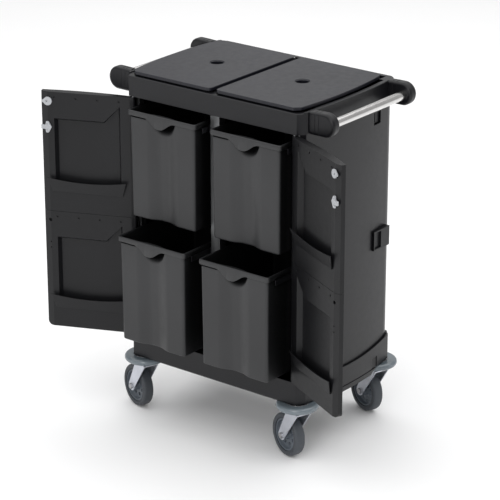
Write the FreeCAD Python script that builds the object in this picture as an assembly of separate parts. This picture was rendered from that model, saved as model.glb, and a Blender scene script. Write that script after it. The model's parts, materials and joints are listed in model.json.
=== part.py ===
import FreeCAD, Part
import math
import os

# Housekeeping cart, in millimetres. +Z is up, the doors face -Y, +X is right.
# Everything is drawn about the middle of the cabinet and saved OPEN_SHIFT_Y further back, so that
# the origin lies on the floor under the middle of the whole cart as it stands with both doors open.

V = FreeCAD.Vector
OUT = "parts"
os.makedirs(OUT, exist_ok=True)

OPEN_SHIFT_Y = 50.0

# ---- body outline, seen from above ----
FRONT_Y = -221.0        # flat front of base and top tray
REAR_Y = 215.0          # flat back
FLAT_HALF = 286.0       # half width of the flat front
SIDE_HALF = 304.0       # half width where the bowed sides start
SIDE_END_Y = 196.0      # where the bowed sides start, front and back
SIDE_BOW = 13.0         # how far the sides bow outwards

# ---- levels ----
BASE_Z = 177.0
BASE_FLOOR_Z = 187.0
BASE_FRONT_Z = 246.0
BASE_CORNER_Z = 256.0
BASE_DIP_Z = 238.0      # lowest point of the rim in the middle of each side
TRAY_Z = 951.0
TRAY_FLOOR_Z = 957.0
TRAY_TOP_Z = 1009.0
WALL = 5.0
PANEL_INSET = 6.0
PANEL_T = 4.0
CORNER_ROUND = 48.0     # rounding of the rear upright edge of the side panels
SKIRT_Z = 164.0         # lower edge of the skirt between the casters at each side
SKIRT_Y = (100.0, 128.0)
SLOT_Y = (106.0, 133.0)     # upright slot in each side of the base
SLOT_Z = (SKIRT_Z + 14, 212.0)
SADDLE_Y = -150.0       # the dip in the base rim starts here
WELL_WALL = 14.0        # wall round the wells in the top tray
WELL_REAR_Y = 168.0
DIVIDER_HALF = 6.0      # half width of the wall between the wells
END_RIM_X = 297.0       # outside this the top tray has a raised rim at both ends
END_RIM_H = 3.0

SCREW_SITES = ((150.0, 180.0), (60.0, 150.0))   # under one quarter of the base

# Catches near the rear edge of each side panel: (y range), (z range), how far they stand out.
CLIPS = (
    ((102.0, 136.0), (900.0, 934.0), 299.0),
    ((104.0, 177.0), (536.0, 592.0), 314.0),
)

# ---- doors ----
HINGE_X = 276.0
HINGE_Y = -216.0
DOOR_WIDTH = 264.0
DOOR_Z = 248.0
DOOR_TOP_Z = 948.0
DOOR_OPEN_LEFT = 156.5  # how far the doors stand open at rest, in degrees
DOOR_OPEN_RIGHT = 153.5
DOOR_FACE = 8.0         # inner face, measured inwards from the hinge axis
DOOR_EDGE_OUT = -11.0   # outer face at the free edge
DOOR_BULGE_OUT = -16.0  # outer face in the middle
HINGE_R = 6.0
PIN_R = 3.0
PIN_LENGTH = 36.0
EDGE_BEVEL = 19.0       # slanted strip along the free edge
LOCK_S = 246.0          # distances S run from the hinge axis, drops from the top of a moulding
LOCK_DROP = 27.0
CATCH_S = 244.0
CATCH_DROP = 102.0
CATCH_SCREW_DROPS = (93.0, 110.0)
WINDOW_S = (35.0, 227.0)
WINDOW_DROP = 76.0
WINDOW_STEP = 47.0      # size of the slanted corner on the hinge side
WINDOW_LOW_DROP = 286.0
STRIP_DROP = (247.0, 290.0)
STRIP_TOP_S = (18.0, 247.0)
STRIP_FOOT_S = (31.0, 234.0)
STRIP_DIP = 11.0        # how far the upper edge of a strip dips in the middle
STRIP_LEAN = (3.0, 14.0)    # how far a strip stands out at its foot and at its top
STRIP_T = 2.2
STRIP_FOOT_H = 3.5
RECESS_T = 14.0
PANEL_H = (DOOR_TOP_Z - DOOR_Z) / 2

# ---- bins ----
BIN_X = 143.0           # centre of each bin column
BIN_W = 238.0           # over the rim
BIN_D = 336.0
BIN_H = 308.0
BIN_WALL = 3.0
RIM_SIDE = 5.0          # rim beyond the body at the sides and back
RIM_FRONT = 4.0         # rim beyond the body at the front
RIM_H = 14.0
RIM_LIP = 2.5           # thickness of the part of the rim that hangs down
RIM_PLATE = 3.0         # thickness of its flat top
BIN_TAPER = 2.5
BIN_ROUND = 9.0         # rounding of the upright edges
BIN_GROOVE = 12.0       # depth of the groove in the front
# Lower edge of the grip: (position across the front, drop below the rim), joined by two arcs.
APRON = ((0.27, 13.5), (0.355, 27.0), (0.45, 38.0), (0.585, 27.0), (0.69, 13.5))
HOME_Y = -170.0         # front of every bin when the doors are closed
UPPER_OUT = 89.0        # how far the bins stand out at rest
LOWER_OUT = 140.0
UPPER_BIN_Y = HOME_Y - UPPER_OUT
LOWER_BIN_Y = HOME_Y - LOWER_OUT
UPPER_BIN_Z = 926.0     # top of the rim
LOWER_BIN_Z = 573.0
BINS = {
    "upper_left": (-BIN_X, UPPER_BIN_Y, UPPER_BIN_Z),
    "upper_right": (BIN_X, UPPER_BIN_Y, UPPER_BIN_Z),
    "lower_left": (-BIN_X, LOWER_BIN_Y, LOWER_BIN_Z),
    "lower_right": (BIN_X, LOWER_BIN_Y, LOWER_BIN_Z),
}

# ---- posts and rails ----
POST_T = 2.0
POST_FRONT_Y = -203.0
CENTRE_HALF = 15.0
CORNER_X = (271.0, 285.0)
CORNER_Y = (-195.0, -175.0)
RAIL_Y = (-200.0, 192.0)
RAIL_DROP = (10.0, 32.0)    # upper and lower edge of the fixed rails, below the rim of their bin

# ---- lids ----
LID_GAP = 9.0           # half of the gap between the lids
LID_TOP_Z = 1022.0
LID_Z = 1013.0
LID_FRONT_Y = -213.0
LID_REAR_Y = 176.0
LID_HALF = 284.0        # outer corners of the lids
LID_BOW = 12.0
LID_CUT = 16.0          # slanted front outer corner
LUG_X = (48.0, 236.0)   # hinge lugs of each lid
LID_AXIS_Y = 186.0
LID_AXIS_Z = 1010.0

# ---- handles ----
TUBE_R = 13.0
TUBE_X = 356.0
TUBE_Z = 980.0
NOSE_R = 32.5
NOSE_X = 352.0
NOSE_Z = 982.0
NOSE_ROUND = 9.0
HORN_Y = (162.0, 192.0)
COLLAR_X = (322.0, 334.0)   # the two grooves round each horn

# ---- casters ----
CASTER_X = 271.0
CASTER_Y = 187.0
WHEEL_R = 62.5
WHEEL_W = 32.0
TRAIL = 43.0
TRAIL_ANGLE = 160.0     # direction in which all four casters trail, in degrees from +X
NUT_R = 8.5
DISC_R = 60.0
DISC_Z = 158.0


def save(name, shape):
    placed = shape.copy()
    placed.translate(V(0, OPEN_SHIFT_Y, 0))
    placed.exportStep(os.path.join(OUT, name + ".step"))


def box(x0, x1, y0, y1, z0, z1):
    corner = V(min(x0, x1), min(y0, y1), z0)
    return Part.makeBox(abs(x1 - x0), abs(y1 - y0), z1 - z0, corner)


def rod(r, start, direction, length):
    return Part.makeCylinder(r, length, start, direction)


def path(*steps):
    """Closed wire; a step is a point, or a pair (mid, end) that makes an arc."""
    edges = []
    at = steps[0]
    for step in steps[1:]:
        if isinstance(step, tuple):
            mid, end = step
            edges.append(Part.Arc(at, mid, end).toShape())
        else:
            end = step
            edges.append(Part.makeLine(at, end))
        at = end
    if at.distanceToPoint(steps[0]) > 1e-6:
        edges.append(Part.makeLine(at, steps[0]))
    return Part.Wire(edges)


def prism(wire, z0, z1):
    face = Part.Face(wire)
    face.translate(V(0, 0, z0))
    return face.extrude(V(0, 0, z1 - z0))


def mirror_x(shape):
    return shape.mirror(V(0, 0, 0), V(1, 0, 0))


def mirror_y(shape):
    return shape.mirror(V(0, 0, 0), V(0, 1, 0))


def fuse(shapes):
    whole = shapes[0].fuse(shapes[1:])
    return whole.removeSplitter()


def upright_edges(shape):
    """Edges that run straight up."""
    found = []
    for edge in shape.Edges:
        a, b = edge.Vertexes[0].Point, edge.Vertexes[-1].Point
        if abs(a.x - b.x) < 1e-4 and abs(a.y - b.y) < 1e-4 and abs(a.z - b.z) > 1:
            found.append(edge)
    return found


def edges_at_z(shape, z):
    return [e for e in shape.Edges if abs(e.BoundBox.ZMin - z) < 1e-3 and abs(e.BoundBox.ZMax - z) < 1e-3]


def body_outline(inset=0.0, front_y=FRONT_Y, flat_half=FLAT_HALF):
    """Flat front and back, short slanted corners and bowed sides."""
    f = front_y + inset
    r = REAR_Y - inset
    flat = flat_half - inset * 0.7
    side = SIDE_HALF - inset
    bow = side + SIDE_BOW
    e = SIDE_END_Y - inset * 0.3
    return path(
        V(-flat, f, 0), V(flat, f, 0), V(side, -e, 0), (V(bow, 0, 0), V(side, e, 0)),
        V(flat, r, 0), V(-flat, r, 0), V(-side, e, 0), (V(-bow, 0, 0), V(-side, -e, 0)),
    )


def hinge_pin_sites():
    return [(side * HINGE_X, z) for side in (-1, 1) for z in (DOOR_Z, DOOR_TOP_Z)]


def door_pins():
    pins = []
    for x, z in hinge_pin_sites():
        low = z - 12 if z == DOOR_Z else z - PIN_LENGTH + 12
        pins.append(rod(PIN_R, V(x, HINGE_Y, low), V(0, 0, 1), PIN_LENGTH))
    return pins


# ---------------- cabinet ----------------

def side_skirts():
    """The side walls of the base reach lower between the casters."""
    ring = prism(body_outline(), SKIRT_Z, BASE_Z + 1)
    ring = ring.cut(prism(body_outline(WALL), SKIRT_Z - 1, BASE_Z + 2))
    near, far = SKIRT_Y
    skirts = []
    for sx in (-1, 1):
        limit = Part.makePolygon([V(sx * 270, y, z) for y, z in (
            (-near, SKIRT_Z), (near, SKIRT_Z), (far, BASE_Z + 1), (-far, BASE_Z + 1), (-near, SKIRT_Z))])
        skirts.append(ring.common(Part.Face(limit).extrude(V(sx * 70, 0, 0))))
    return skirts


def base_tray():
    tub = prism(body_outline(), BASE_Z, BASE_CORNER_Z)
    tub = tub.makeChamfer(4.0, edges_at_z(tub, BASE_Z))
    hollow = prism(body_outline(WALL), BASE_FLOOR_Z, BASE_CORNER_Z + 1)
    base = tub.cut(hollow)
    corners = []
    for sx in (-1, 1):
        corners.append(box(sx * 262, sx * 290, FRONT_Y + 1, -206, BASE_FLOOR_Z - 1, BASE_FRONT_Z))
    corner_limit = prism(body_outline(1), BASE_FLOOR_Z - 1, BASE_FRONT_Z)
    base = fuse([base] + [c.common(corner_limit) for c in corners])
    rise = BASE_CORNER_Z - BASE_DIP_Z
    radius = (SIDE_END_Y ** 2 + rise ** 2) / (2 * rise)
    saddle = rod(radius, V(-400, 0, BASE_DIP_Z + radius), V(1, 0, 0), 800)
    keep_between = box(-400, 400, SADDLE_Y, SIDE_END_Y, BASE_DIP_Z - 1, BASE_CORNER_Z + 5)
    base = base.cut(saddle.common(keep_between))
    base = base.cut(box(-400, 400, FRONT_Y - 5, SADDLE_Y, BASE_FRONT_Z, BASE_CORNER_Z + 5))
    base = fuse([base] + side_skirts())
    for sx in (-1, 1):
        base = base.cut(box(sx * 309, sx * 330, SLOT_Y[0], SLOT_Y[1], SLOT_Z[0], SLOT_Z[1]))
    for pin in door_pins():
        base = base.cut(pin)
    for x, y in screw_sites():
        base = base.cut(rod(2.2, V(x, y, BASE_Z - 1), V(0, 0, 1), 12))
    return base


def top_tray():
    block = prism(body_outline(), TRAY_Z, TRAY_TOP_Z)
    block = block.makeChamfer(2.0, edges_at_z(block, TRAY_TOP_Z))
    rim = prism(body_outline(), TRAY_TOP_Z - 5, TRAY_TOP_Z + END_RIM_H)
    rim = rim.makeChamfer(1.5, edges_at_z(rim, TRAY_TOP_Z + END_RIM_H))
    rim = rim.cut(box(-END_RIM_X, END_RIM_X, -300, 300, TRAY_TOP_Z - 6, TRAY_TOP_Z + END_RIM_H + 1))
    block = fuse([block, rim])
    # Two wells under the lids; their end walls follow the bow of the body.
    above = TRAY_TOP_Z + END_RIM_H + 1
    inner = prism(body_outline(WELL_WALL), TRAY_FLOOR_Z, above)
    for sx in (-1, 1):
        limit = box(sx * DIVIDER_HALF, sx * 330, FRONT_Y + WELL_WALL, WELL_REAR_Y, TRAY_FLOOR_Z, above)
        block = block.cut(inner.common(limit))
    # The underside is hollow between the outer wall and the posts.
    block = block.cut(box(-262, 262, FRONT_Y + WALL, FRONT_Y + 11, TRAY_Z - 1, TRAY_FLOOR_Z))
    # A sunk channel behind the lids leaves room for the hinge.
    block = block.cut(box(-276, 276, 171, 200, LID_AXIS_Z - 10, TRAY_TOP_Z + 1))
    # Lugs that hold the lid pins.
    lugs = []
    for x in lid_lug_positions():
        lug = box(x - 5, x + 5, 180, 196, LID_AXIS_Z - 10, LID_AXIS_Z)
        tip = rod(6.0, V(x - 5, LID_AXIS_Y, LID_AXIS_Z), V(1, 0, 0), 10)
        lugs.append(lug.fuse(tip))
    block = fuse([block] + lugs)
    for pin in door_pins() + lid_pins():
        block = block.cut(pin)
    return block


def lid_lug_positions():
    return [sx * x for sx in (-1, 1) for x in LUG_X]


def lid_pins():
    pins = []
    for x in lid_lug_positions():
        inner = -1 if x > 0 else 1
        start = V(x - 7 if inner > 0 else x - 25, LID_AXIS_Y, LID_AXIS_Z)
        pins.append(rod(PIN_R, start, V(1, 0, 0), 32))
    return pins


def side_panel():
    """Right side panel; its front and back edges turn inwards."""
    front = -204.0
    outer = prism(body_outline(PANEL_INSET, front - PANEL_INSET, FLAT_HALF), BASE_FLOOR_Z, TRAY_Z)
    outer = outer.makeFillet(CORNER_ROUND, side_corner_edges(outer, PANEL_INSET))
    depth = PANEL_INSET + PANEL_T
    inner = prism(body_outline(depth, front - PANEL_INSET, FLAT_HALF), BASE_FLOOR_Z - 1, TRAY_Z + 1)
    inner = inner.makeFillet(CORNER_ROUND - PANEL_T, side_corner_edges(inner, depth))
    ring = outer.cut(inner)
    panel = ring.common(box(CORNER_X[1] - 1, 400, -300, 300, BASE_FLOOR_Z, TRAY_Z))
    for (y0, y1), (z0, z1), _ in CLIPS:
        panel = panel.cut(box(280, 400, y0 - 0.5, y1 + 0.5, z0 - 0.5, z1 + 0.5))
    return panel


def side_corner_edges(shape, inset):
    """Upright edges where the bowed sides end at the back."""
    side, end = SIDE_HALF - inset, SIDE_END_Y - inset * 0.3
    return [e for e in upright_edges(shape)
            if abs(abs(e.Vertexes[0].X) - side) < 1e-3 and abs(e.Vertexes[0].Y - end) < 1e-3]


def rear_panel():
    sheet = box(-283, 283, 203, 206, BASE_FLOOR_Z, TRAY_Z)
    ribs = [box(x - 1.5, x + 1.5, 206, 210, BASE_FLOOR_Z, TRAY_Z) for x in (-190, -95, 95, 190)]
    return fuse([sheet] + ribs)


def centre_post(y_face, turn):
    """Open channel; turn +1 opens to the back, -1 to the front."""
    depth = 26.0
    inside = CENTRE_HALF - POST_T
    web = box(-CENTRE_HALF, CENTRE_HALF, y_face, y_face + turn * POST_T, BASE_FLOOR_Z, TRAY_Z)
    legs = []
    for sx in (-1, 1):
        legs.append(box(sx * CENTRE_HALF, sx * inside, y_face, y_face + turn * depth, BASE_FLOOR_Z, TRAY_Z))
    return fuse([web] + legs)


def corner_post():
    """Front right post: square tube with a column of slots in its front face."""
    x0, x1 = CORNER_X
    y0, y1 = CORNER_Y
    post = box(x0, x1, y0, y1, BASE_FLOOR_Z, TRAY_Z)
    post = post.cut(box(x0 + POST_T, x1 - POST_T, y0 + POST_T, y1 - POST_T, BASE_FLOOR_Z - 1, TRAY_Z + 1))
    z = BASE_CORNER_Z + 20
    slots = []
    while z < TRAY_Z - 40:
        slots.append(box((x0 + x1) / 2 - 2.5, (x0 + x1) / 2 + 2.5, y0 - 1, y0 + POST_T + 1, z, z + 16))
        z += 32
    return post.cut(Part.makeCompound(slots))


def fixed_rails():
    half = BIN_W / 2
    rails = []
    for x, _, z in BINS.values():
        for s in (-1, 1):
            near, far = x + s * (half + 3.2), x + s * (half + 5.2)
            low, high = z - RAIL_DROP[1], z - RAIL_DROP[0]
            web = box(near, far, RAIL_Y[0], RAIL_Y[1], low, high)
            foot = box(x + s * (half + 1.0), near, RAIL_Y[0], RAIL_Y[1], low, low + 2)
            front_pad = box(far, x + s * (half + 9.0), -195, -177, low, high)
            rear_pad = box(far, x + s * (half + 9.0), 175, 192, low, high)
            rails.append(fuse([web, foot, front_pad, rear_pad]))
    return Part.makeCompound(rails)


def panel_clips():
    """Square catches set into windows in the side panels, each with a finger slot at its front."""
    clips = []
    for (y0, y1), (z0, z1), reach in CLIPS:
        block = box(288, reach, y0, y1, z0, z1)
        slot_end = y0 + (y1 - y0) * 0.45
        block = block.cut(box(reach - 6, reach + 1, y0 + 3, slot_end, z0 + 4, z1 - 4))
        clips.append(block)
        clips.append(mirror_x(block))
    return Part.makeCompound(clips)


def handle_bracket():
    """Front right bracket: a rounded horn that carries the end of the tube."""
    y0, y1 = -HORN_Y[1], -HORN_Y[0]
    root = FLAT_HALF
    top, low = NOSE_Z + NOSE_R, NOSE_Z - NOSE_R
    profile = path(
        V(root, y0, low), V(NOSE_X, y0, low),
        (V(NOSE_X + NOSE_R, y0, NOSE_Z), V(NOSE_X, y0, top)),
        (V((NOSE_X + root) / 2, y0, top - 0.6), V(root, y0, top - 2.4)),
    )
    horn = Part.Face(profile).extrude(V(0, y1 - y0, 0))
    outer_edges = [
        e for e in horn.Edges
        if abs(e.BoundBox.YLength) < 1e-3 and e.BoundBox.XMax > root + 1
    ]
    horn = horn.makeFillet(NOSE_ROUND, outer_edges)
    horn = horn.cut(prism(body_outline(), TRAY_Z - 10, TRAY_TOP_Z + 30))
    groove = 0.8
    for x in COLLAR_X:
        ring = box(x, x + 1.6, y0 - 1, y1 + 1, low - 1, top + 1)
        core = box(x - 1, x + 3, y0 + groove, y1 - groove, low + groove, top - groove - 1)
        horn = horn.cut(ring.cut(core))
    socket = rod(TUBE_R, V(TUBE_X, y1 - 20, TUBE_Z), V(0, 1, 0), 21)
    return horn.cut(socket)


def handle_tube():
    y = HORN_Y[0] + 20
    tube = rod(TUBE_R, V(TUBE_X, -y, TUBE_Z), V(0, 1, 0), 2 * y)
    return tube.cut(rod(TUBE_R - 2, V(TUBE_X, -y - 1, TUBE_Z), V(0, 1, 0), 2 * y + 2))


def screw_sites():
    return [(sx * x, sy * y) for sx in (-1, 1) for sy in (-1, 1) for x, y in SCREW_SITES]


def body_screws():
    screws = []
    for x, y in screw_sites():
        shank = rod(2.2, V(x, y, BASE_Z), V(0, 0, 1), 10)
        head = rod(4.5, V(x, y, BASE_Z - 2.5), V(0, 0, 1), 2.5)
        screws.append(shank.fuse(head))
    return Part.makeCompound(screws)


# ---------------- lids ----------------

def right_lid():
    gap = LID_GAP
    outline = path(
        V(gap, LID_FRONT_Y + 12, 0),
        (V(gap + 3.5, LID_FRONT_Y + 3.5, 0), V(gap + 12, LID_FRONT_Y, 0)),
        V(LID_HALF - LID_CUT, LID_FRONT_Y, 0),
        V(LID_HALF, LID_FRONT_Y + LID_CUT, 0),
        (V(LID_HALF + LID_BOW, -20, 0), V(LID_HALF, LID_REAR_Y - 26, 0)),
        (V(LID_HALF - 8, LID_REAR_Y - 8, 0), V(LID_HALF - 26, LID_REAR_Y, 0)),
        V(gap + 22, LID_REAR_Y, 0),
        (V(gap + 6, LID_REAR_Y - 6, 0), V(gap, LID_REAR_Y - 22, 0)),
    )
    plate = prism(outline, LID_Z, LID_TOP_Z)
    plate = plate.makeChamfer(1.0, edges_at_z(plate, LID_TOP_Z))
    # A shallow skirt drops into the well and keeps the lid in place.
    skirt = box(gap + 12, LID_HALF - 20, LID_FRONT_Y + 16, 150, TRAY_TOP_Z - 4, LID_Z)
    skirt = skirt.makeFillet(18.0, upright_edges(skirt))
    hollow = box(gap + 15, LID_HALF - 23, LID_FRONT_Y + 19, 147, TRAY_TOP_Z - 5, LID_Z)
    skirt = skirt.cut(hollow.makeFillet(15.0, upright_edges(hollow)))
    # The round finger recess is a cup that hangs below the plate.
    cx = (gap + LID_HALF) / 2
    cup = rod(21.0, V(cx, -8, LID_Z - 14), V(0, 0, 1), 18)
    lid = fuse([plate, skirt, cup])
    lid = lid.cut(rod(18.0, V(cx, -8, LID_Z - 11), V(0, 0, 1), 30))
    lid = lid.cut(Part.makeCone(18.0, 21.5, 3.5, V(cx, -8, LID_TOP_Z - 3.5)))
    knuckles = []
    for x in LUG_X:
        x0 = x - 18
        barrel = rod(5.5, V(x0, LID_AXIS_Y, LID_AXIS_Z), V(1, 0, 0), 12)
        arm = box(x0, x0 + 12, LID_REAR_Y - 6, LID_AXIS_Y, LID_AXIS_Z + 2, LID_AXIS_Z + 5.5)
        web = box(x0, x0 + 12, LID_REAR_Y - 6, LID_REAR_Y - 1, LID_AXIS_Z + 2, LID_Z + 1)
        knuckles.append(barrel.fuse([arm, web]))
    lid = fuse([lid] + knuckles)
    bores = [rod(PIN_R + 0.15, V(x - 19, LID_AXIS_Y, LID_AXIS_Z), V(1, 0, 0), 14) for x in LUG_X]
    return lid.cut(Part.makeCompound(bores))


# ---------------- doors ----------------
# A door is drawn closed and right-handed. Distance s runs from the hinge axis to the free edge
# (towards -X), depth t runs inwards (towards +Y).

def door_point(s, t, z=0.0):
    return V(HINGE_X - s, HINGE_Y + t, z)


def door_box(s0, s1, t0, t1, z0, z1):
    a, b = door_point(s0, t0), door_point(s1, t1)
    return box(a.x, b.x, a.y, b.y, z0, z1)


def open_door(shape, side):
    """Turn a closed right-hand shape to its open place; side -1 gives the left door."""
    shape = shape.copy()
    angle = DOOR_OPEN_RIGHT if side > 0 else DOOR_OPEN_LEFT
    shape.rotate(V(HINGE_X, HINGE_Y, 0), V(0, 0, 1), angle)
    return shape if side > 0 else mirror_x(shape)


def door_profile():
    """Plan of a door moulding: round hinge edge, bowed outer face, bevelled free edge."""
    w = DOOR_WIDTH
    return path(
        door_point(0, -HINGE_R),
        (door_point(-HINGE_R * 0.95, 0.2), door_point(0, HINGE_R)),
        door_point(8, DOOR_FACE),
        door_point(w - EDGE_BEVEL, DOOR_FACE),
        door_point(w, 1.0),
        door_point(w, DOOR_EDGE_OUT),
        (door_point(w / 2, DOOR_BULGE_OUT), door_point(0, -HINGE_R)),
    )


def window_wire(top_z, inset, t):
    s0, s1 = WINDOW_S[0] + inset, WINDOW_S[1] - inset
    high = top_z - WINDOW_DROP + WINDOW_STEP - inset
    level = top_z - WINDOW_DROP - inset
    low = top_z - WINDOW_LOW_DROP + inset
    slant = WINDOW_S[0] + WINDOW_STEP + inset * 0.4
    points = [(s0, low), (s1, low), (s1, level), (slant, level), (s0, high)]
    return Part.makePolygon([door_point(s, t, z) for s, z in points + points[:1]])


def door_panel(top_z, is_lower):
    """One door moulding; the upper and the lower are the same part."""
    low_z = top_z - PANEL_H
    panel = prism(door_profile(), low_z + 0.4, top_z - 0.4)
    rim = window_wire(top_z, 0.0, DOOR_FACE + 0.1)
    floor = window_wire(top_z, 8.0, DOOR_FACE - RECESS_T)
    panel = panel.cut(Part.makeLoft([rim, floor], True, True))
    for i in range(4):
        s = 38.0 + i * 62.3
        panel = panel.cut(rod(3.0, door_point(s, DOOR_FACE - 2.5, top_z - 15.5), V(0, 1, 0), 4))
    panel = panel.cut(rod(5.0, door_point(LOCK_S, DOOR_FACE - 9, top_z - LOCK_DROP), V(0, 1, 0), 12))
    for drop in CATCH_SCREW_DROPS:
        panel = panel.cut(rod(2.0, door_point(CATCH_S + 2, DOOR_FACE - 6, top_z - drop), V(0, 1, 0), 8))
    for pin in door_pins():
        start = V(HINGE_X, HINGE_Y, pin.BoundBox.ZMin - 0.4)
        panel = panel.cut(rod(PIN_R + 0.2, start, V(0, 0, 1), PIN_LENGTH + 0.8))
    if is_lower:
        # The free bottom corner is rounded.
        r = 14.0
        corner = door_box(DOOR_WIDTH - r, DOOR_WIDTH + 1, -30, 30, low_z - 1, low_z + r)
        round_end = rod(r, door_point(DOOR_WIDTH - r, -40, low_z + r), V(0, 1, 0), 80)
        panel = panel.cut(corner.cut(round_end))
    return panel


def pocket_strip(top_z):
    """Strip across the foot of a window: dipped upper edge, slanted ends, leaning out to its top."""
    top, low = top_z - STRIP_DROP[0], top_z - STRIP_DROP[1]
    middle = (STRIP_TOP_S[0] + STRIP_TOP_S[1]) / 2
    foot_out, top_out = STRIP_LEAN
    t_face = DOOR_FACE + 0.05
    outline = path(
        door_point(STRIP_FOOT_S[0], t_face, low), door_point(STRIP_FOOT_S[1], t_face, low),
        door_point(STRIP_TOP_S[1], t_face, top),
        (door_point(middle, t_face, top - STRIP_DIP), door_point(STRIP_TOP_S[0], t_face, top)),
    )
    slab = Part.Face(outline).extrude(V(0, top_out, 0))
    lean = (top_out - foot_out) / (top - low)
    in_front = side_view(t_face, ((foot_out, low), (top_out, top), (top_out + 5, top), (top_out + 5, low)))
    foot = foot_out - STRIP_T + lean * STRIP_FOOT_H
    head = top_out - STRIP_T + lean
    shelf = low + STRIP_FOOT_H
    behind = side_view(t_face, ((-1, shelf), (foot, shelf), (head, top + 1), (-1, top + 1)))
    return slab.cut(in_front).cut(behind)


def side_view(t_face, points):
    """Prism as wide as a door; each point gives the distance from the door's face and the level."""
    corners = [door_point(-20, t_face + t, z) for t, z in points + points[:1]]
    return Part.Face(Part.makePolygon(corners)).extrude(V(-DOOR_WIDTH - 40, 0, 0))


def lock_cam(top_z):
    """White teardrop that turns on the inner face; drawn with its tip towards the free edge."""
    z = top_z - LOCK_DROP
    t0, t1 = DOOR_FACE + 0.4, DOOR_FACE + 4.4
    disc = rod(12.0, door_point(LOCK_S - 3, t0, z), V(0, 1, 0), t1 - t0)
    tip = Part.makePolygon([
        door_point(LOCK_S - 4, t0, z + 11.9), door_point(LOCK_S + 13, t0, z + 3),
        door_point(LOCK_S + 13, t0, z - 3), door_point(LOCK_S - 4, t0, z - 11.9),
        door_point(LOCK_S - 4, t0, z + 11.9),
    ])
    cam = disc.fuse(Part.Face(tip).extrude(V(0, t1 - t0, 0)))
    hub = rod(4.6, door_point(LOCK_S, t0 - 9, z), V(0, 1, 0), 10)
    cam = fuse([cam, hub])
    return cam.cut(rod(3.0, door_point(LOCK_S, t1 - 3, z), V(0, 1, 0), 4))


def door_catch(top_z):
    """White fan-shaped catch screwed on below the cam."""
    z = top_z - CATCH_DROP
    t0, t1 = DOOR_FACE + 0.05, DOOR_FACE + 5.0
    points = [(-2, 16), (5, 16), (7, 6), (19, 5.5), (19, -5.5), (7, -6), (5, -16), (-2, -16), (-11, 0)]
    wire = Part.makePolygon([door_point(CATCH_S + ds, t0, z + dz) for ds, dz in points + points[:1]])
    plate = Part.Face(wire).extrude(V(0, t1 - t0, 0))
    for drop in CATCH_SCREW_DROPS:
        plate = plate.cut(rod(1.8, door_point(CATCH_S + 2, t1 - 1.5, top_z - drop), V(0, 1, 0), 3))
    return plate


# ---------------- bins ----------------

def bin_outline(x, y_front, width, depth, r, groove, z):
    """Plan of a bin with a smooth groove in the middle of its front."""
    hw = width / 2
    g = width * 0.2
    return path(
        V(x - hw + r, y_front, z), V(x - g, y_front, z),
        (V(x - g * 0.72, y_front + groove * 0.42, z), V(x, y_front + groove, z)),
        (V(x + g * 0.72, y_front + groove * 0.42, z), V(x + g, y_front, z)),
        V(x + hw - r, y_front, z),
        (V(x + hw - r * 0.293, y_front + r * 0.293, z), V(x + hw, y_front + r, z)),
        V(x + hw, y_front + depth - r, z),
        (V(x + hw - r * 0.293, y_front + depth - r * 0.293, z), V(x + hw - r, y_front + depth, z)),
        V(x - hw + r, y_front + depth, z),
        (V(x - hw + r * 0.293, y_front + depth - r * 0.293, z), V(x - hw, y_front + depth - r, z)),
        V(x - hw, y_front + r, z),
        (V(x - hw + r * 0.293, y_front + r * 0.293, z), V(x - hw + r, y_front, z)),
    )


def plain_outline(x, y0, y1, width, r, z):
    hw = width / 2
    return path(
        V(x - hw + r, y0, z), V(x + hw - r, y0, z),
        (V(x + hw - r * 0.293, y0 + r * 0.293, z), V(x + hw, y0 + r, z)),
        V(x + hw, y1 - r, z),
        (V(x + hw - r * 0.293, y1 - r * 0.293, z), V(x + hw - r, y1, z)),
        V(x - hw + r, y1, z),
        (V(x - hw + r * 0.293, y1 - r * 0.293, z), V(x - hw, y1 - r, z)),
        V(x - hw, y0 + r, z),
        (V(x - hw + r * 0.293, y0 + r * 0.293, z), V(x - hw + r, y0, z)),
    )


def bin_shape(x, y_rim, z_rim):
    """Tapered bin with a rolled rim; the rim hangs lower over the groove as a grip."""
    z0 = z_rim - BIN_H
    y = y_rim + RIM_FRONT
    w = BIN_W - 2 * RIM_SIDE
    d = BIN_D - RIM_FRONT - RIM_SIDE
    t = BIN_TAPER
    k = BIN_WALL
    outer = Part.makeLoft([
        bin_outline(x, y + t, w - 2 * t, d - 2 * t, BIN_ROUND, BIN_GROOVE, z0),
        bin_outline(x, y, w, d, BIN_ROUND, BIN_GROOVE, z_rim),
    ], True, True)
    inner = Part.makeLoft([
        bin_outline(x, y + t + k, w - 2 * t - 2 * k, d - 2 * t - 2 * k, BIN_ROUND - k, BIN_GROOVE, z0 + k),
        bin_outline(x, y + k, w - 2 * k, d - 2 * k, BIN_ROUND - k, BIN_GROOVE, z_rim + 1),
    ], True, True)
    rim_block = prism(plain_outline(x, y_rim, y_rim + BIN_D, BIN_W, BIN_ROUND, 0), z_rim - RIM_H, z_rim)
    rim_block = rim_block.makeFillet(2.5, edges_at_z(rim_block, z_rim))
    lip = RIM_LIP
    under = plain_outline(x, y_rim + lip, y_rim + BIN_D - lip, BIN_W - 2 * lip, BIN_ROUND - lip, 0)
    rim = rim_block.cut(prism(under, z_rim - RIM_H - 1, z_rim - RIM_PLATE)).cut(inner)
    left, left_mid, lowest, right_mid, right = [
        V(x + (across - 0.5) * BIN_W, y_rim, z_rim - drop) for across, drop in APRON
    ]
    apron = Part.Face(path(left, (left_mid, lowest), (right_mid, right))).extrude(V(0, RIM_PLATE, 0))
    shell = outer.cut(inner)
    return fuse([shell, rim, apron])


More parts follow.
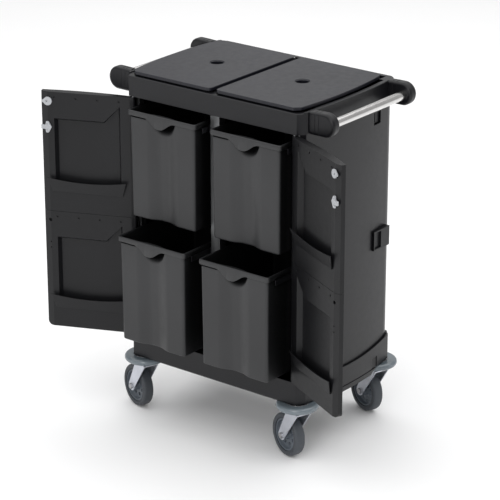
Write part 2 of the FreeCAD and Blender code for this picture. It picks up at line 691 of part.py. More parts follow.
def runner_pair(x, y_rim, z_rim):
    """Two runner rails; their ledges carry the rim of the bin."""
    half = BIN_W / 2
    y0, y1 = y_rim + 30, y_rim + 30 + 280
    rails = []
    for s in (-1, 1):
        low = z_rim - RAIL_DROP[1] + 2.5
        web = box(x + s * (half + 0.6), x + s * (half + 2.6), y0, y1, low, z_rim - RIM_H - 0.4)
        near, far = x + s * (half - 4.2), x + s * (half + 0.6)
        ledge = box(near, far, y0, y1, z_rim - RIM_H - 2.5, z_rim - RIM_H - 0.4)
        rails.append(fuse([web, ledge]))
    return Part.makeCompound(rails)


# ---------------- casters ----------------

def caster_sites():
    return {
        "front_left": (-CASTER_X, -CASTER_Y),
        "front_right": (CASTER_X, -CASTER_Y),
        "rear_left": (-CASTER_X, CASTER_Y),
        "rear_right": (CASTER_X, CASTER_Y),
    }


def place_caster(shape, x, y):
    """A caster is drawn at the origin, trailing towards +X."""
    shape = shape.copy()
    shape.rotate(V(0, 0, 0), V(0, 0, 1), TRAIL_ANGLE)
    shape.translate(V(x, y, 0))
    return shape


def caster_fork():
    leg_in, leg_out = 20.5, 23.5
    crown_z = 146.0
    legs = []
    for s in (-1, 1):
        side = path(
            V(-31, s * leg_in, crown_z), V(20, s * leg_in, crown_z),
            V(TRAIL + 14, s * leg_in, WHEEL_R + 8),
            (V(TRAIL + 2, s * leg_in, WHEEL_R - 14), V(TRAIL - 13, s * leg_in, WHEEL_R - 3)),
        )
        legs.append(Part.Face(side).extrude(V(0, s * (leg_out - leg_in), 0)))
    crown = box(-31, 32, -leg_out, leg_out, crown_z - 0.5, crown_z + 3)
    race = rod(23.0, V(0, 0, crown_z + 3), V(0, 0, 1), 9)
    neck = rod(17.0, V(0, 0, crown_z + 12), V(0, 0, 1), 12.6)
    fork = fuse([crown, race, neck] + legs)
    return fork.cut(rod(5.0, V(TRAIL, -30, WHEEL_R), V(0, 1, 0), 60))


def caster_axle():
    axle = rod(5.0, V(TRAIL, -23.5, WHEEL_R), V(0, 1, 0), 47)
    heads = []
    for s in (-1, 1):
        corners = []
        for i in range(7):
            a = math.radians(60 * i)
            corners.append(V(TRAIL + NUT_R * math.cos(a), s * 23.5, WHEEL_R + NUT_R * math.sin(a)))
        hexagon = Part.makePolygon(corners)
        heads.append(Part.Face(hexagon).extrude(V(0, s * 5.5, 0)))
    return fuse([axle] + heads)


def caster_tyre():
    hw = WHEEL_W / 2
    tyre = rod(WHEEL_R, V(TRAIL, -hw, WHEEL_R), V(0, 1, 0), WHEEL_W)
    tyre = tyre.makeFillet(7.0, [e for e in tyre.Edges if abs(e.BoundBox.YLength) < 1e-3])
    return tyre.cut(rod(47.0, V(TRAIL, -hw - 1, WHEEL_R), V(0, 1, 0), WHEEL_W + 2))


def caster_hub():
    hw = 13.0
    hub = rod(47.0, V(TRAIL, -hw, WHEEL_R), V(0, 1, 0), 2 * hw)
    for s in (-1, 1):
        ring = rod(42.0, V(TRAIL, s * 5, WHEEL_R), V(0, s, 0), hw)
        hub = hub.cut(ring)
    boss = rod(13.0, V(TRAIL, -19.5, WHEEL_R), V(0, 1, 0), 39)
    hub = fuse([hub, boss])
    holes = []
    for i in range(8):
        a = math.radians(45 * i + 22.5)
        centre = V(TRAIL + 28 * math.cos(a), -20, WHEEL_R + 28 * math.sin(a))
        holes.append(rod(6.0, centre, V(0, 1, 0), 40))
    hub = hub.cut(Part.makeCompound(holes))
    return hub.cut(rod(5.3, V(TRAIL, -25, WHEEL_R), V(0, 1, 0), 50))


def bumper_disc():
    disc = rod(DISC_R, V(0, 0, DISC_Z), V(0, 0, 1), BASE_Z - DISC_Z)
    disc = disc.makeFillet(8.0, edges_at_z(disc, DISC_Z) + edges_at_z(disc, BASE_Z))
    disc = disc.cut(rod(26.0, V(0, 0, DISC_Z - 1), V(0, 0, 1), 30))
    return disc.cut(rod(34.0, V(0, 0, BASE_Z - 7), V(0, 0, 1), 10))


def mounting_plate():
    return rod(33.5, V(0, 0, BASE_Z - 6), V(0, 0, 1), 6)


# ---------------- everything ----------------

def build_cabinet():
    save("base_tray", base_tray())
    save("top_tray", top_tray())
    right = side_panel()
    save("right_side_panel", right)
    save("left_side_panel", mirror_x(right))
    save("rear_panel", rear_panel())
    save("front_centre_post", centre_post(POST_FRONT_Y, 1))
    save("rear_centre_post", centre_post(200.0, -1))
    post = corner_post()
    save("front_right_post", post)
    save("front_left_post", mirror_x(post))
    save("rear_right_post", mirror_y(post))
    save("rear_left_post", mirror_y(mirror_x(post)))
    save("fixed_rails", fixed_rails())
    save("panel_clips", panel_clips())
    bracket = handle_bracket()
    save("front_right_bracket", bracket)
    save("front_left_bracket", mirror_x(bracket))
    save("rear_right_bracket", mirror_y(bracket))
    save("rear_left_bracket", mirror_y(mirror_x(bracket)))
    tube = handle_tube()
    save("right_handle_tube", tube)
    save("left_handle_tube", mirror_x(tube))
    save("door_hinge_pins", Part.makeCompound(door_pins()))
    save("lid_hinge_pins", Part.makeCompound(lid_pins()))
    save("body_screws", body_screws())


def build_lids():
    lid = right_lid()
    save("right_lid", lid)
    save("left_lid", mirror_x(lid))


def build_doors():
    seam_z = DOOR_TOP_Z - PANEL_H
    upper = door_panel(DOOR_TOP_Z, False)
    lower = door_panel(seam_z, True)
    strips = Part.makeCompound([pocket_strip(DOOR_TOP_Z), pocket_strip(seam_z)])
    cam = lock_cam(DOOR_TOP_Z)
    catch = door_catch(DOOR_TOP_Z)
    for side, name in ((1, "right"), (-1, "left")):
        save(name + "_door_upper", open_door(upper, side))
        save(name + "_door_lower", open_door(lower, side))
        save(name + "_door_pockets", open_door(strips, side))
        save(name + "_lock_cam", open_door(cam, side))
        save(name + "_door_catch", open_door(catch, side))


def build_bins():
    for name, (x, y, z) in BINS.items():
        save(name + "_bin", bin_shape(x, y, z))
        save(name + "_runners", runner_pair(x, y, z))


def build_casters():
    fork, axle, tyre, hub = caster_fork(), caster_axle(), caster_tyre(), caster_hub()
    discs, plates = [], []
    for name, (x, y) in caster_sites().items():
        save(name + "_fork", place_caster(fork, x, y))
        save(name + "_axle", place_caster(axle, x, y))
        save(name + "_tyre", place_caster(tyre, x, y))
        save(name + "_hub", place_caster(hub, x, y))
        discs.append(place_caster(bumper_disc(), x, y))
        plates.append(place_caster(mounting_plate(), x, y))
    save("bumper_discs", Part.makeCompound(discs))
    save("caster_plates", Part.makeCompound(plates))


build_cabinet()
build_lids()
build_doors()
build_bins()
build_casters()
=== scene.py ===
import bpy
import bmesh
import json
import math
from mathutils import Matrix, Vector


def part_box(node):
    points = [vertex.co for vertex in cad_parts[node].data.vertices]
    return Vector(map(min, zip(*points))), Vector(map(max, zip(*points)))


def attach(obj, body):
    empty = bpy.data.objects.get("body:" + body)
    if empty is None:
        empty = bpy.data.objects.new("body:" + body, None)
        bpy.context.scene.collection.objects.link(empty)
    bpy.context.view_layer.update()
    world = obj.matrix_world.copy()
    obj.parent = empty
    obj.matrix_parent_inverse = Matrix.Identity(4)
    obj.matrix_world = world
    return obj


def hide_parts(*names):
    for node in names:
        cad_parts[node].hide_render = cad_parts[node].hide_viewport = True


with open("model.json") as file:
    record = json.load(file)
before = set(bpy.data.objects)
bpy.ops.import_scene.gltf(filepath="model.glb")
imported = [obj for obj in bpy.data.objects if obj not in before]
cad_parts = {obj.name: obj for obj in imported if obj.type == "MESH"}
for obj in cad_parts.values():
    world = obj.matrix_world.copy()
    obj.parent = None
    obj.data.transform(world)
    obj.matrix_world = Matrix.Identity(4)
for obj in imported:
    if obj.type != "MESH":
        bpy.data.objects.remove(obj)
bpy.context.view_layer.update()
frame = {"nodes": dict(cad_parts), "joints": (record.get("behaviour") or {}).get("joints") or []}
NODES = frame["nodes"]


# ---------------- materials ----------------

class Graph:
    """Short calls for building a node tree."""

    def __init__(self, name):
        self.mat = bpy.data.materials.new(name)
        self.mat.use_nodes = True
        self.tree = self.mat.node_tree
        self.shader = self.tree.nodes["Principled BSDF"]
        self.coords = self.add("ShaderNodeTexCoord").outputs["Object"]

    def add(self, kind, **values):
        node = self.tree.nodes.new(kind)
        for key, value in values.items():
            setattr(node, key, value)
        return node

    def link(self, source, target):
        self.tree.links.new(source, target)

    def noise(self, scale, detail=2.0, stretch=None):
        node = self.add("ShaderNodeTexNoise")
        node.inputs["Scale"].default_value = scale
        node.inputs["Detail"].default_value = detail
        source = self.coords
        if stretch:
            mapping = self.add("ShaderNodeMapping")
            mapping.inputs["Scale"].default_value = stretch
            self.link(self.coords, mapping.inputs["Vector"])
            source = mapping.outputs["Vector"]
        self.link(source, node.inputs["Vector"])
        return node.outputs["Fac"]

    def voronoi(self, scale):
        node = self.add("ShaderNodeTexVoronoi")
        node.inputs["Scale"].default_value = scale
        self.link(self.coords, node.inputs["Vector"])
        return node.outputs["Distance"]

    def spread(self, source, low_in, high_in, low_out, high_out):
        """Map the range low_in..high_in onto low_out..high_out, clamped."""
        node = self.add("ShaderNodeMapRange")
        self.link(source, node.inputs["Value"])
        ends = {"From Min": low_in, "From Max": high_in, "To Min": low_out, "To Max": high_out}
        for name, value in ends.items():
            node.inputs[name].default_value = value
        return node.outputs["Result"]

    def math(self, operation, a, b):
        node = self.add("ShaderNodeMath", operation=operation)
        for i, value in enumerate((a, b)):
            if isinstance(value, (int, float)):
                node.inputs[i].default_value = value
            else:
                self.link(value, node.inputs[i])
        return node.outputs["Value"]

    def mix(self, factor, a, b):
        node = self.add("ShaderNodeMix", data_type="RGBA")
        self.link(factor, node.inputs["Factor"])
        for i, value in ((6, a), (7, b)):
            if isinstance(value, tuple):
                node.inputs[i].default_value = (*value, 1.0)
            else:
                self.link(value, node.inputs[i])
        return node.outputs[2]

    def rounded(self, radius):
        """Normal with every sharp edge rounded off by radius."""
        bevel = self.add("ShaderNodeBevel", samples=6)
        bevel.inputs["Radius"].default_value = radius
        return bevel.outputs["Normal"]

    def edges(self, normal):
        """1 along sharp edges, 0 on open surfaces."""
        flat = self.add("ShaderNodeNewGeometry")
        dot = self.add("ShaderNodeVectorMath", operation="DOT_PRODUCT")
        self.link(normal, dot.inputs[0])
        self.link(flat.outputs["Normal"], dot.inputs[1])
        return self.spread(dot.outputs["Value"], 0.985, 0.8, 0.0, 1.0)

    def bump(self, height, strength, distance, normal):
        node = self.add("ShaderNodeBump")
        node.inputs["Strength"].default_value = strength
        node.inputs["Distance"].default_value = distance
        self.link(height, node.inputs["Height"])
        self.link(normal, node.inputs["Normal"])
        return node.outputs["Normal"]


def tinted(colour, factor, lift=0.0):
    return tuple(c * factor + lift for c in colour)


def moulded(name, colour, rough, grain=1400.0, depth=0.00002, wear=0.3, worn=None, radius=0.0012,
            specular=0.5, shade=0.0):
    """Injection moulded plastic: fine grain, faint cloudiness, paler rubbed edges.

    Given a shade distance, faces that stand within that distance of another piece get painted shade:
    ambient occlusion darkens their colour and specular.
    """
    g = Graph(name)
    broad = g.noise(4.0, 3.0)
    cloud = g.noise(70.0, 4.0)
    base = g.mix(g.spread(broad, 0.35, 0.65, 0.0, 1.0), tinted(colour, 0.88), tinted(colour, 1.14))
    speck = g.spread(g.noise(420.0, 1.0), 0.62, 0.78, 0.0, 0.35)
    base = g.mix(speck, base, tinted(colour, 1.8, 0.004))
    rounded = g.rounded(radius)
    scuff = g.math("MULTIPLY", g.edges(rounded), g.spread(cloud, 0.4, 0.65, 0.35, 1.0))
    worn_colour = worn or tinted(colour, 2.4, 0.012)
    base = g.mix(g.math("MULTIPLY", scuff, wear), base, worn_colour)
    g.link(base, g.shader.inputs["Base Color"])
    clouded = g.spread(cloud, 0.3, 0.7, rough - 0.03, rough + 0.03)
    polish = g.math("MULTIPLY", scuff, -0.08)
    g.link(g.math("ADD", clouded, polish), g.shader.inputs["Roughness"])
    skin = g.math("ADD", g.noise(grain, 2.0), g.math("MULTIPLY", g.voronoi(grain * 0.6), 0.5))
    g.link(g.bump(skin, 0.35, depth, rounded), g.shader.inputs["Normal"])
    # Painted shade: ambient occlusion darkens the colour and the specular near other pieces.
    if shade:
        painted_shade_occlusion = g.add("ShaderNodeAmbientOcclusion", samples=8)
        painted_shade_occlusion.inputs["Distance"].default_value = shade
        clear = g.spread(painted_shade_occlusion.outputs["AO"], 0.35, 0.85, 0.12, 1.0)
        g.link(g.math("MULTIPLY", clear, specular), g.shader.inputs["Specular IOR Level"])
        g.link(g.mix(clear, (0.0, 0.0, 0.0), base), g.shader.inputs["Base Color"])
    else:
        g.shader.inputs["Specular IOR Level"].default_value = specular
    return g.mat


def metal(name, colour, rough, streak=(4.0, 4.0, 4.0), depth=0.00001, wear=0.25, radius=0.0008):
    """Drawn or plated metal with fine streaks along its length."""
    g = Graph(name)
    streaks = g.noise(180.0, 4.0, stretch=streak)
    spots = g.noise(26.0, 5.0)
    base = g.mix(g.spread(spots, 0.4, 0.7, 0.0, 1.0), tinted(colour, 0.88), colour)
    rounded = g.rounded(radius)
    edge = g.math("MULTIPLY", g.edges(rounded), wear)
    base = g.mix(edge, base, tuple(min(1.0, c) for c in tinted(colour, 1.5, 0.02)))
    g.link(base, g.shader.inputs["Base Color"])
    g.link(g.spread(streaks, 0.3, 0.7, rough * 0.8, rough * 1.25), g.shader.inputs["Roughness"])
    g.link(g.bump(streaks, 0.3, depth, rounded), g.shader.inputs["Normal"])
    g.shader.inputs["Metallic"].default_value = 1.0
    return g.mat


MATERIALS = {
    "body_plastic": moulded("body_plastic", (0.0052, 0.0053, 0.0068), 0.36, specular=0.32),
    "door_plastic": moulded("door_plastic", (0.0056, 0.0057, 0.0067), 0.42, specular=0.30),
    "lid_plastic": moulded("lid_plastic", (0.0060, 0.0064, 0.0112), 0.38, wear=0.8, radius=0.0016,
                           specular=0.36),
    # Bins get painted shade where a neighbour, a door or the cabinet stands within 0.25 m.
    "bin_plastic": moulded("bin_plastic", (0.0185, 0.0189, 0.0203), 0.44, specular=0.46, shade=0.25),
    "post_metal": metal("post_metal", (0.24, 0.245, 0.25), 0.38, (1.0, 1.0, 0.05)),
    "rail_steel": metal("rail_steel", (0.04, 0.04, 0.045), 0.42, (1.0, 0.05, 1.0)),
    "chrome_tube": metal("chrome_tube", (0.72, 0.71, 0.70), 0.15, (1.0, 0.04, 1.0)),
    "pin_steel": metal("pin_steel", (0.42, 0.42, 0.43), 0.30),
    "bumper_plastic": moulded("bumper_plastic", (0.125, 0.152, 0.172), 0.24, grain=500.0, wear=0.3,
                              worn=(0.26, 0.30, 0.33), specular=0.8),
    "fork_steel": metal("fork_steel", (0.62, 0.64, 0.695), 0.42, (1.0, 1.0, 1.0)),
    "tyre_rubber": moulded("tyre_rubber", (0.046, 0.052, 0.061), 0.58, grain=900.0, depth=0.00008,
                           wear=0.1),
    "hub_plastic": moulded("hub_plastic", (0.085, 0.100, 0.120), 0.40, grain=700.0, depth=0.00005),
    "latch_white": moulded("latch_white", (0.40, 0.41, 0.43), 0.40, wear=0.2, worn=(0.60, 0.60, 0.60)),
}
# The nodes named in SLOTS take that slot; every other node takes it from the ending of its name.
SLOTS = {
    "body_plastic": ("base_tray", "top_tray", "rear_panel", "panel_clips"),
    "rail_steel": ("fixed_rails",),
    "pin_steel": ("door_hinge_pins", "lid_hinge_pins", "body_screws", "caster_plates"),
    "bumper_plastic": ("bumper_discs",),
}
ENDINGS = (
    ("_side_panel", "body_plastic"), ("_bracket", "body_plastic"), ("_post", "post_metal"),
    ("_handle_tube", "chrome_tube"),
    ("_lid", "lid_plastic"), ("_door_upper", "door_plastic"), ("_door_lower", "door_plastic"),
    ("_door_pockets", "door_plastic"), ("_lock_cam", "latch_white"), ("_door_catch", "latch_white"),
    ("_bin", "bin_plastic"), ("_runners", "rail_steel"), ("_fork", "fork_steel"), ("_axle", "pin_steel"),
    ("_tyre", "tyre_rubber"), ("_hub", "hub_plastic"),
)


def slot_of(node):
    for slot, names in SLOTS.items():
        if node in names:
            return slot
    return next(slot for ending, slot in ENDINGS if node.endswith(ending))


for name, node in NODES.items():
    node.data.materials.clear()
    node.data.materials.append(MATERIALS[slot_of(name)])


# ---------------- meshes ----------------

def smooth(t):
    t = max(0.0, min(1.0, t))
    return t * t * (3.0 - 2.0 * t)


def skin(rings, closed=True, caps=True):
    """Faces between loops that all have the same number of points."""
    mesh = bmesh.new()
    loops = [[mesh.verts.new(point) for point in ring] for ring in rings]
    count = len(loops[0])
    pairs = list(zip(loops, loops[1:]))
    if closed:
        pairs.append((loops[-1], loops[0]))
    for a, b in pairs:
        for i in range(count):
            j = (i + 1) % count
            mesh.faces.new((a[i], a[j], b[j], b[i]))
    if caps:
        mesh.faces.new(list(reversed(loops[0])))
        mesh.faces.new(loops[-1])
    bmesh.ops.recalc_face_normals(mesh, faces=mesh.faces)
    return mesh


def piece(name, mesh, body, replaced, slot, crease=40.0):
    """One finished object that stands for a CAD node."""
    data = bpy.data.meshes.new(name)
    mesh.to_mesh(data)
    mesh.free()
    data.polygons.foreach_set("use_smooth", [True] * len(data.polygons))
    data.set_sharp_from_angle(angle=math.radians(crease))
    data.materials.append(MATERIALS[slot])
    obj = bpy.data.objects.new(name, data)
    bpy.context.scene.collection.objects.link(obj)
    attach(obj, body)
    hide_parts(replaced)
    return obj


# ---------------- bins ----------------

MM = 0.001
BIN_WALL = 3.0
BIN_TAPER = 2.5
BIN_ROUND = 9.0 * MM
BIN_RIM_SIDE = 5.0 * MM
BIN_RIM_FRONT = 4.0 * MM
BIN_RIM_H = 14.0 * MM
BIN_LIP = 2.4 * MM
BIN_PLATE = 3.0 * MM        # thickness of the flat top of the rim
BIN_EDGE = 3.0 * MM         # rounding of the rim's top edge
GROOVE_TOP = 7.0 * MM       # depth of the groove in the front, at the rim and at the foot
GROOVE_FOOT = 12.0 * MM
GROOVE_HALF = 56.0 * MM
GROOVE_SLOPE = 46.0 * MM    # width of each flank of the groove
APRON_DROP = 24.0 * MM
APRON_SPAN = (0.27, 0.44, 0.48, 0.69)   # across the front: starts, lowest from, lowest to, ends
SCOOP_DEPTH = 20.0 * MM     # finger hollow in the wall under the apron
SCOOP_MIDDLE = 0.515        # across the front
SCOOP_REACH = 0.185
SCOOP_DROP = (14.0 * MM, 19.0 * MM, 26.0 * MM, 58.0 * MM)
SCOOP_LEAST = 0.3           # height of the scoop at its ends, as a share of its middle
SLIT_DEPTH = 7.0 * MM       # narrow slit under the rim at both ends of the front
SLIT_SPAN = (0.02, 0.035, 0.20, 0.28)
SLIT_DROP = (13.9 * MM, 14.5 * MM, 18.0 * MM, 19.2 * MM)
FRONT_STEPS = 96
CORNER_STEPS = 8
SIDE_STEPS = 10


def plateau(value, span):
    """0 outside span, 1 between its two middle values, smooth in between."""
    a, b, c, d = span
    return smooth((value - a) / (b - a)) * (1.0 - smooth((value - c) / (d - c)))


def bin_loop(x, half, y0, y1, r, groove, z):
    """Plan of a bin at one level; the middle of its front is drawn in by groove."""
    points = []
    for i in range(FRONT_STEPS + 1):
        px = -half + r + (2.0 * half - 2.0 * r) * i / FRONT_STEPS
        swell = smooth((GROOVE_HALF - abs(px)) / GROOVE_SLOPE)
        points.append((px, y0 + groove * swell))
    inner = half - r
    corners = (
        (inner, y0 + r, -90.0), (inner, y1 - r, 0.0), (-inner, y1 - r, 90.0), (-inner, y0 + r, 180.0),
    )
    for k, (cx, cy, start) in enumerate(corners):
        for i in range(1, CORNER_STEPS + (k < 3)):
            a = math.radians(start + 90.0 * i / CORNER_STEPS)
            points.append((cx + r * math.cos(a), cy + r * math.sin(a)))
        if k < 3:
            nx, ny, turn = corners[k + 1]
            a = math.radians(turn)
            end = (nx + r * math.cos(a), ny + r * math.sin(a))
            begin = points[-1]
            for i in range(1, SIDE_STEPS + 1):
                f = i / SIDE_STEPS
                points.append(tuple(a + (b - a) * f for a, b in zip(begin, end)))
    return [(x + px, py, z) for px, py in points]


def bin_mesh(low, high):
    """Tapered bin with a rolled rim and a grip apron over the groove, filling the box low to high."""
    x = (low.x + high.x) / 2
    rim_half = (high.x - low.x) / 2
    front, back, bottom, top = low.y, high.y, low.z, high.z
    half = rim_half - BIN_RIM_SIDE

    def across(px):
        return (px - low.x) / (high.x - low.x)

    def body(drop, inset):
        """Ring on the wall, drop below the top and inset from its outer face, both in millimetres."""
        down = drop * MM / (top - bottom)
        shrink = (BIN_TAPER * down + inset) * MM
        groove = GROOVE_TOP + (GROOVE_FOOT - GROOVE_TOP) * down
        face = front + BIN_RIM_FRONT + shrink
        corner = max(3.0 * MM, BIN_ROUND - inset * MM)
        loop = []
        rear = back - BIN_RIM_SIDE - shrink
        for px, py, pz in bin_loop(x, half - shrink, face, rear, corner, groove, top - drop * MM):
            if py < face + groove + MM:
                aside = (across(px) - SCOOP_MIDDLE) / SCOOP_REACH
                bow = math.sqrt(max(0.0, 1.0 - aside ** 2))
                py += SCOOP_DEPTH * bow * plateau(drop * MM / max(SCOOP_LEAST, bow), SCOOP_DROP)
                py += SLIT_DEPTH * plateau(across(px), SLIT_SPAN) * plateau(drop * MM, SLIT_DROP)
            loop.append((px, py, pz))
        return loop

    def rim(inset, z):
        corner = BIN_ROUND - inset * 0.6
        return bin_loop(x, rim_half - inset, front + inset, back - inset, corner, 0.0, z)

    def lip(inset, raised):
        """Lower edge of the rim; at the front its middle hangs down as the apron."""
        loop = []
        for px, py, pz in rim(inset, top - BIN_RIM_H + raised):
            if py < front + BIN_RIM_FRONT:
                pz -= APRON_DROP * plateau(across(px), APRON_SPAN)
            loop.append((px, py, pz))
        return loop

    height = (top - bottom) / MM
    rings = []
    for rise, inset in ((0.0, 8.0), (0.3, 4.6), (1.2, 2.0), (2.6, 0.7), (4.6, 0.1), (7.0, 0.0)):
        rings.append(body(height - rise, inset))
    for drop in (270.0, 230.0, 190.0, 150.0, 110.0, 84.0):
        rings.append(body(drop, 0.0))
    for step in range(18):
        rings.append(body(70.0 - step * 3.0, 0.0))
    for drop in (18.0, 16.4, 14.5, 13.9, 10.0):
        rings.append(body(drop, 0.0))
    rings.append(body(3.4, -0.6))
    # Under the rim, round the lip and back over the top.
    rings.append(rim(BIN_LIP, top - BIN_PLATE))
    for part, raised in ((1.0, 0.8), (0.75, 0.0), (0.25, 0.0), (0.0, 0.8)):
        rings.append(lip(BIN_LIP * part, raised * MM))
    rings.append(rim(0.0, top - BIN_EDGE))
    for angle in (22.5, 45.0, 67.5, 90.0):
        a = math.radians(angle)
        rings.append(rim(BIN_EDGE * (1.0 - math.cos(a)), top - BIN_EDGE * (1.0 - math.sin(a))))
    # Inside: a small rounding, then the wall down to the floor.
    for drop, inset in ((0.0, 1.2), (0.3, 2.0), (1.2, 2.8), (2.6, BIN_WALL)):
        rings.append(body(drop, inset))
    for step in range(1, 19):
        rings.append(body(2.6 + step * 4.0, BIN_WALL))
    for drop in (110.0, 170.0, 230.0, 290.0):
        rings.append(body(drop, BIN_WALL))
    for rise, inset in ((9.0, 3.5), (5.4, 4.5), (3.6, 6.5), (3.0, 9.0)):
        rings.append(body(height - rise, inset))
    return skin(rings, closed=False)


for side in ("left", "right"):
    for tier in ("upper", "lower"):
        node = tier + "_" + side + "_bin"
        low, high = (Vector(v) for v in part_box(node))
        piece(node + "_moulding", bin_mesh(low, high), node + "_body", node, "bin_plastic")


# ---------------- wheels and discs ----------------

TURN_STEPS = 96


def lathe(centre, axis, profile, steps=TURN_STEPS):
    """Closed ring round axis; the profile gives distance along the axis and radius, in millimetres."""
    axis = axis.normalized()
    side = axis.cross(Vector((0, 0, 1))).normalized() if abs(axis.z) < 0.9 else Vector((1, 0, 0))
    up = axis.cross(side)
    rings = []
    for i in range(steps):
        a = 2.0 * math.pi * i / steps
        out = side * math.cos(a) + up * math.sin(a)
        rings.append([centre + axis * (along * MM) + out * (r * MM) for along, r in profile])
    return skin(rings, closed=True, caps=False)


def arc(cx, cy, r, start, end, steps):
    """Points of an arc; angles in degrees."""
    points = []
    for i in range(steps + 1):
        a = math.radians(start + (end - start) * i / steps)
        points.append((cx + r * math.cos(a), cy + r * math.sin(a)))
    return points


# Across the tyre: tread crowned, shoulders round, a shallow groove where the side wall meets the hub.
TYRE_PROFILE = (
    [(-15.0, 47.3), (-15.6, 49.0), (-14.2, 50.4), (-15.8, 52.4)]
    + [(-16.0, 55.0)]
    + arc(-8.6, 54.6, 7.4, 180.0, 98.0, 8)
    + [(-4.0, 62.35), (0.0, 62.5), (4.0, 62.35)]
    + arc(8.6, 54.6, 7.4, 82.0, 0.0, 8)
    + [(16.0, 55.0)]
    + [(15.8, 52.4), (14.2, 50.4), (15.6, 49.0), (15.0, 47.3)]
)


# From the hole round the swivel outwards: flat underside, thick round buffer, flat top with a seat.
DISC_PROFILE = (
    [(12.0, 34.0), (12.0, 26.2), (3.0, 26.2), (2.0, 27.5), (2.0, 39.0), (3.2, 42.0)]
    + arc(9.5, 50.4, 9.5, 212.0, 0.0, 18)
    + [(18.6, 46.0), (18.4, 40.0), (18.4, 34.2)]
)


def box_middle(node):
    low, high = (Vector(v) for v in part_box(node))
    return (low + high) / 2


HUB_HOLES = 8
HUB_EDGE_STEPS = 4          # points along each border of a web sector
WEB_HALF = 4.0
WEB_IN = 17.0
WEB_OUT = 39.0
WEB_HOLE_R = 5.6
WEB_HOLE_AT = 28.0
# Distance from the middle plane and radius: the flange ends under the tyre, the boss in the bore.
FLANGE_PROFILE = (
    (WEB_HALF, WEB_OUT), (6.0, 40.6), (11.0, 41.6), (13.0, 42.4), (13.0, 45.6), (12.0, 47.0), (0.0, 47.0),
)
BOSS_PROFILE = (
    (WEB_HALF, WEB_IN), (6.5, 15.4), (12.0, 14.0), (18.4, 13.0), (19.5, 12.0), (19.5, 5.4), (0.0, 5.4),
)


def sector_border(middle, sector):
    """Radius and angle of the points round one sector of the web."""
    start, end = middle - sector / 2, middle + sector / 2
    steps = [i / HUB_EDGE_STEPS for i in range(HUB_EDGE_STEPS)]
    outer = [(WEB_OUT, start + sector * f) for f in steps]
    inwards = [(WEB_OUT + (WEB_IN - WEB_OUT) * f, end) for f in steps]
    inner = [(WEB_IN, end - sector * f) for f in steps]
    outwards = [(WEB_IN + (WEB_OUT - WEB_IN) * f, start) for f in steps]
    return outer + inwards + inner + outwards


def onto_hole(point, middle):
    """The point of the round hole that lies towards a border point."""
    r, a = point
    cx, cy = WEB_HOLE_AT * math.cos(middle), WEB_HOLE_AT * math.sin(middle)
    dx, dy = r * math.cos(a) - cx, r * math.sin(a) - cy
    scale = WEB_HOLE_R / math.hypot(dx, dy)
    x, y = cx + dx * scale, cy + dy * scale
    return math.hypot(x, y), math.atan2(y, x)


def hub_mesh(centre, axis):
    """Moulded wheel centre: rim flange, dished web with round holes, and a raised boss."""
    axis = axis.normalized()
    side = axis.cross(Vector((0, 0, 1))).normalized()
    up = axis.cross(side)
    mesh = bmesh.new()
    cache = {}

    def vert(along, r, a):
        key = (round(along, 3), round(r * math.cos(a), 2), round(r * math.sin(a), 2))
        if key not in cache:
            out = side * math.cos(a) + up * math.sin(a)
            cache[key] = mesh.verts.new(centre + axis * (along * MM) + out * (r * MM))
        return cache[key]

    def web(face, middle, sector):
        """One sector of the web's face with its hole, and the wall of the hole once."""
        border = sector_border(middle, sector)
        hole = [onto_hole(point, middle) for point in border]
        for i in range(len(border)):
            j = (i + 1) % len(border)
            outer = [vert(face * WEB_HALF, *border[i]), vert(face * WEB_HALF, *border[j])]
            inner = [vert(face * WEB_HALF, *hole[j]), vert(face * WEB_HALF, *hole[i])]
            mesh.faces.new(outer + inner)
            if face > 0:
                far = [vert(-WEB_HALF, *hole[j]), vert(-WEB_HALF, *hole[i])]
                mesh.faces.new([inner[1], inner[0]] + far)

    def turned(face, line):
        """Surface of revolution from the web outwards on one side."""
        steps = HUB_HOLES * HUB_EDGE_STEPS
        for (a0, r0), (a1, r1) in zip(line, line[1:]):
            for i in range(steps):
                p = 2.0 * math.pi * i / steps
                q = 2.0 * math.pi * (i + 1) / steps
                near = [vert(face * a0, r0, p), vert(face * a0, r0, q)]
                mesh.faces.new(near + [vert(face * a1, r1, q), vert(face * a1, r1, p)])

    sector = 2.0 * math.pi / HUB_HOLES
    for face in (-1.0, 1.0):
        for k in range(HUB_HOLES):
            web(face, sector * (k + 0.5), sector)
        for line in (FLANGE_PROFILE, BOSS_PROFILE):
            turned(face, line)
    bmesh.ops.recalc_face_normals(mesh, faces=mesh.faces)
    return mesh


JOINTS = {joint["name"]: joint for joint in frame["joints"]}
CORNERS = ("front_left", "front_right", "rear_left", "rear_right")
disc_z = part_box("bumper_discs")[0][2]
for corner in CORNERS:
    spin = Vector(JOINTS[corner + "_wheel_spin"]["axis"])
    wheel = corner + "_wheel"
    middle = box_middle(corner + "_tyre")
    tyre = lathe(middle, spin, TYRE_PROFILE)
    piece(corner + "_tyre_moulding", tyre, wheel, corner + "_tyre", "tyre_rubber")
    piece(corner + "_hub_moulding", hub_mesh(middle, spin), wheel, corner + "_hub", "hub_plastic")
    swivel_x, swivel_y = JOINTS[corner + "_swivel"]["pos_m"][:2]
    disc_foot = Vector((swivel_x, swivel_y, disc_z))
    disc = lathe(disc_foot, Vector((0, 0, 1)), DISC_PROFILE)
    piece(corner + "_disc_moulding", disc, "cabinet", "bumper_discs", "bumper_plastic")


# ---------------- stage ----------------

FLOOR_HALF = 40.0


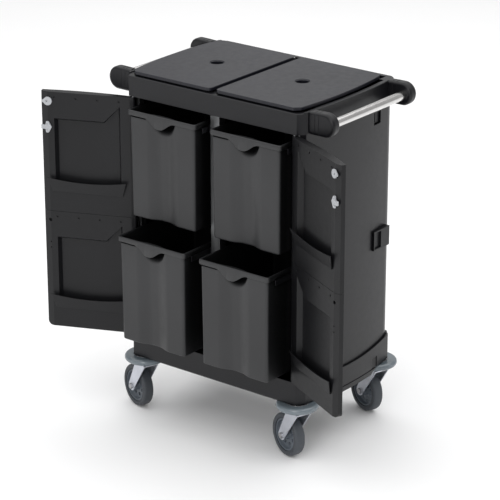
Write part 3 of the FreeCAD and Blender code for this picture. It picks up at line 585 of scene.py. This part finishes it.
def floor():
    corners = [(x * FLOOR_HALF, y * FLOOR_HALF, 0) for x, y in ((-1, -1), (1, -1), (1, 1), (-1, 1))]
    mesh = bpy.data.meshes.new("floor")
    mesh.from_pydata(corners, [], [(0, 1, 2, 3)])
    obj = bpy.data.objects.new("floor", mesh)
    bpy.context.scene.collection.objects.link(obj)
    g = Graph("floor")
    base = g.mix(g.noise(1.5, 3.0), (0.93, 0.93, 0.935), (0.96, 0.96, 0.96))
    g.link(base, g.shader.inputs["Base Color"])
    g.link(g.spread(g.noise(40.0, 3.0), 0.3, 0.7, 0.75, 0.9), g.shader.inputs["Roughness"])
    mesh.materials.append(g.mat)


def area_light(name, place, target, width, power, height):
    data = bpy.data.lights.new(name, "AREA")
    data.energy = power
    data.shape = "RECTANGLE"
    data.size = width
    data.size_y = height
    obj = bpy.data.objects.new(name, data)
    bpy.context.scene.collection.objects.link(obj)
    obj.location = place
    obj.rotation_euler = (Vector(target) - Vector(place)).to_track_quat("-Z", "Y").to_euler()


SKY_STRENGTH = 0.46
# Name, place, target, width, power in watts, height.
AREA_LIGHTS = (
    ("ceiling", (0, 0, 5.0), (0, 0, 0), 10.0, 440, 10.0),
    ("key", (1.5, -4.0, 2.1), (0, 0, 0.5), 1.4, 44, 2.0),
    ("fill", (-2.6, -3.0, 0.9), (0, 0, 0.4), 1.0, 6, 1.0),
    ("back", (-1.6, 4.6, 2.6), (0, 0, 0.9), 4.0, 8, 2.0),
    ("side", (3.6, 2.4, 1.2), (0.3, 0.2, 0.6), 0.3, 9, 2.4),
)


def lights():
    world = bpy.data.worlds.new("studio")
    world.use_nodes = True
    sky = world.node_tree.nodes["Background"]
    sky.inputs["Color"].default_value = (1.0, 1.0, 1.0, 1.0)
    sky.inputs["Strength"].default_value = SKY_STRENGTH
    bpy.context.scene.world = world
    for values in AREA_LIGHTS:
        area_light(*values)


CAMERA_TARGET = Vector((-0.0378, 0.050, 0.4894))
CAMERA_AZIMUTH = math.radians(37.704)
CAMERA_ELEVATION = math.radians(21.044)
CAMERA_DISTANCE = 6.6077
CAMERA_LENS = 168.9


def camera():
    back = Vector((
        math.sin(CAMERA_AZIMUTH) * math.cos(CAMERA_ELEVATION),
        -math.cos(CAMERA_AZIMUTH) * math.cos(CAMERA_ELEVATION),
        math.sin(CAMERA_ELEVATION),
    ))
    data = bpy.data.cameras.new("camera")
    data.lens = CAMERA_LENS
    data.sensor_width = 36.0
    data.clip_end = 200.0
    obj = bpy.data.objects.new("camera", data)
    bpy.context.scene.collection.objects.link(obj)
    obj.location = CAMERA_TARGET + back * CAMERA_DISTANCE
    obj.rotation_euler = back.to_track_quat("Z", "Y").to_euler()
    bpy.context.scene.camera = obj


floor()
lights()
camera()
bpy.context.scene.view_settings.view_transform = "Standard"
